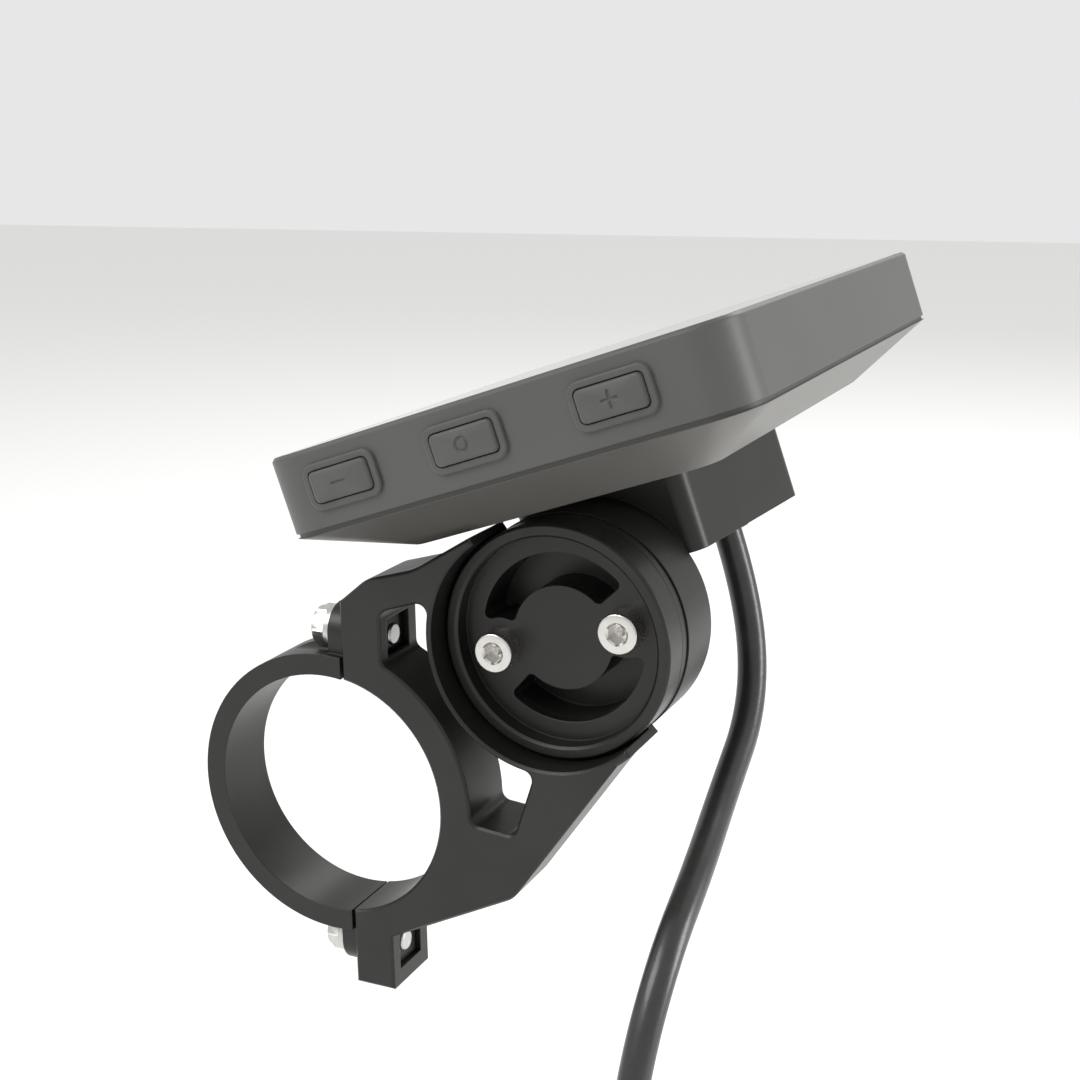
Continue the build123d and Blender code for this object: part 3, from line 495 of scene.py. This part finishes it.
def stroke(x, y, start, stop):
    """Distance from each point to a straight stroke between two points."""
    start = np.array(start)
    span = np.array(stop) - start
    share = np.clip(((x - start[0]) * span[0] + (y - start[1]) * span[1]) / (span @ span), 0, 1)
    return np.hypot(x - start[0] - share * span[0], y - start[1] - share * span[1])


def sign_of(name, x, y):
    """Distance from each point of a key's face to its sunk sign."""
    bar = stroke(x, y, (-sign_reach, 0), (sign_reach, 0))
    if name == "left":
        return bar
    if name == "middle":
        return np.abs(np.hypot(x, y) - sign_ring)
    return np.minimum(bar, stroke(x, y, (0, -sign_reach), (0, sign_reach)))


angle = np.linspace(0, 2 * pi, key_steps, endpoint=False)
edge = key_outline(angle)
share = np.linspace(0, 1, inner_rings)[:, None]
for name in ("left", "middle", "right"):
    low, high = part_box(f"button_{name}")
    centre = np.array([(low.x + high.x) / 2, low.y, (low.z + high.z) / 2])
    face = share * (edge - key_rim)
    x = face * np.cos(angle)
    y = face * np.sin(angle)
    dip = np.clip(1 - (sign_of(name, x, y) / sign_width) ** 2, 0, 1) * sign_depth
    deep = key_crown * (share * np.ones_like(edge)) ** 2 + dip
    bends = np.linspace(0, pi / 2, 8)[1:, None]
    rim = edge - key_rim * (1 - np.sin(bends))
    rim_deep = key_crown + key_rim * (1 - np.cos(bends)) * np.ones_like(edge)
    back = high.y - low.y
    skirt = np.array([edge, edge, 0 * edge])
    skirt_deep = np.array([0 * edge + skirt_start, 0 * edge + back, 0 * edge + back])
    out = np.vstack([face, rim, skirt])
    inward = np.vstack([deep, rim_deep, skirt_deep])
    key = wound(f"key_{name}", out, np.zeros(len(out)), centre, (0, 1, 0), along_wall)
    points = np.zeros(len(key.data.vertices) * 3)
    key.data.vertices.foreach_get("co", points)
    points = points.reshape(-1, 3)
    points[0, 1] += inward[0, 0]
    points[1:-1, 1] += inward[1:-1].reshape(-1)
    points[-1, 1] += back
    key.data.vertices.foreach_set("co", points.reshape(-1))
    key.data.update()
    key.data.set_sharp_from_angle(angle=radians(50))
    add_finish(key, rubber, f"{name}_button")
    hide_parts(f"button_{name}")

# ---- Back cover ---------------------------------------------------------------------------------
# The shallow lid under the display, with four sloping sides, in the housing's plastic but a
# little smoother.
cover, shader, place = finish_of("cover_plastic", (0.10, 0.097, 0.09), 0.4)
spark = noise(place, spark_scale, 3.0, 0.7)
cloud = noise(place, 40, 3.0)
vary(shader, "Base Color", tint(place, cloud, (0.070, 0.067, 0.060), (0.100, 0.096, 0.086)))
vary(shader, "Roughness", 0.32 + spark * 0.08 + cloud * 0.06)
grain(shader, place, spark, 0.000014, 0.0003)
dress(cover, "cover_plastic", "back_cover")

# ---- Lead and its plug --------------------------------------------------------------------------
# A round black cable leaves the foot through its grommet, bends towards the near side and hangs.
# Its five-pin plug has a ribbed grip and a coupling ring with lengthwise ridges.
jacket, shader, place = finish_of("lead_jacket", (0.012, 0.012, 0.012), 0.3, Coat_Weight=0.15)
drawn = noise(place, 1500, 3.0)
dust = noise(place, 220, 4.0)
vary(shader, "Base Color", tint(place, dust, (0.010, 0.010, 0.010), (0.030, 0.030, 0.029)))
vary(shader, "Roughness", 0.24 + drawn * 0.12 + dust * 0.08)
grain(shader, place, drawn, 0.00002)
dress(jacket, "lead_jacket", "lead_tail")

lead_exit = (0.0448229, 0.0340, 0.0330925)
lead_points = [
    (0.04837, 0.0340, 0.02268),
    (0.0514, 0.0275, 0.0094),
    (0.0516, 0.0130, 0.0010),
    (0.0530, -0.0005, -0.0036),
    (0.0530, -0.0125, -0.0097),
    (0.0518, -0.0200, -0.0220),
    (0.0508, -0.0230, -0.0380),
    (0.0506, -0.0240, -0.0550),
    (0.0512, -0.0236, -0.0720),
    (0.0520, -0.0228, -0.0890),
]
lead_diameter = 0.0042
route = [lead_exit, *lead_points]
lead_curve = bpy.data.curves.new("free_lead", "CURVE")
lead_curve.dimensions = "3D"
lead_curve.bevel_depth = lead_diameter / 2
lead_curve.bevel_resolution = 10
lead_curve.resolution_u = 16
lead_curve.use_fill_caps = True
spline = lead_curve.splines.new("NURBS")
spline.points.add(len(route) - 1)
for point, spot in zip(spline.points, route):
    point.co = (*spot, 1)
spline.order_u = 3
spline.use_endpoint_u = True
lead = bpy.data.objects.new("free_lead", lead_curve)
bpy.context.scene.collection.objects.link(lead)
add_finish(lead, jacket, "head")
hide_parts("lead")

plug_paint, shader, place = finish_of("plug_plastic", (0.05, 0.05, 0.05), 0.5)
sand = noise(place, 3000, 3.0)
vary(shader, "Roughness", 0.42 + sand * 0.16)
grain(shader, place, sand, 0.00002)
dress(plug_paint, "plug_plastic", "plug_insert")

plug_start = np.array(lead_points[-1])
plug_axis = plug_start - np.array(lead_points[-2])
plug_axis /= np.linalg.norm(plug_axis)
plug_side = np.cross(plug_axis, (0, 1, 0))
plug_side /= np.linalg.norm(plug_side)
neck_length = 0.009
plug_length = 0.020
plug_radius = 0.0048
neck_radius = 0.0032
neck_rib_depth = 0.00028
neck_rib_pitch = 0.0018
grip_rib_depth = 0.00030
grip_rib_pitch = 0.0020
grip_start = 0.013
grip_end = 0.025
plug_steps = 144
travel = np.linspace(0, neck_length + plug_length, 180)
swell = np.clip(travel / neck_length, 0, 1)
taper = neck_radius + (plug_radius - neck_radius) * swell**2 * (3 - 2 * swell)
ribbed = travel < neck_length - 0.001
neck_ribs = neck_rib_depth * (np.cos(2 * pi * travel / neck_rib_pitch) > 0.4) * ribbed
grip = (travel > grip_start) * (travel < grip_end)
grip_ribs = grip_rib_depth * np.clip(np.cos(2 * pi * travel / grip_rib_pitch), 0, 1) * grip
body_profile = taper - neck_ribs - grip_ribs
body_profile[-4:] -= np.array([0.0, 0.0001, 0.0003, 0.0006])
across = np.vstack([[0], body_profile[:, None], [0]]) * np.ones(plug_steps)
along = [0, *travel, travel[-1]]
plug = wound("plug_grip", across, along, plug_start, plug_axis, plug_side)
add_finish(plug, plug_paint, "head")
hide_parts("plug_body")

ring_radius = 0.0053
ring_length = 0.006
ring_bore = 0.0040
ring_ridges = 24
ridge_depth = 0.00028
turn_about = np.linspace(0, 2 * pi, plug_steps, endpoint=False)
ridge = ridge_depth * (0.5 - 0.5 * np.cos(ring_ridges * turn_about))
ones = np.ones(plug_steps)
profile = [
    (ring_bore * ones, 0.0),
    ((ring_radius - 0.0006) * ones, 0.0),
    ((ring_radius - 0.0003) * ones, 0.0003),
    (ring_radius - ridge, 0.0007),
    (ring_radius - ridge, ring_length - 0.0007),
    ((ring_radius - 0.0003) * ones, ring_length - 0.0003),
    ((ring_radius - 0.0006) * ones, ring_length),
    (ring_bore * ones, ring_length),
]
ring_across = np.array([row[0] for row in profile])
ring_along = np.array([row[1] for row in profile])
upright = np.cross(plug_axis, plug_side)
outward = np.cos(turn_about)[:, None] * plug_side + np.sin(turn_about)[:, None] * upright
ring_start = plug_start + (neck_length + plug_length) * plug_axis
points = ring_start + ring_along[:, None, None] * plug_axis + ring_across[:, :, None] * outward
rows = plug_steps * np.arange(len(profile))[:, None]
next_rows = np.roll(rows, -1, axis=0)
here = np.arange(plug_steps)
ahead = (here + 1) % plug_steps
faces = np.stack([rows + here, rows + ahead, next_rows + ahead, next_rows + here], -1)
ring_mesh = bpy.data.meshes.new("coupling_ring")
ring_mesh.from_pydata(points.reshape(-1, 3).tolist(), [], faces.reshape(-1, 4).tolist())
ring_mesh.shade_smooth()
ring_mesh.set_sharp_from_angle(angle=radians(35))
ring = bpy.data.objects.new("coupling_ring", ring_mesh)
bpy.context.scene.collection.objects.link(ring)
add_finish(ring, plug_paint, "head")
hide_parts("plug_ring")
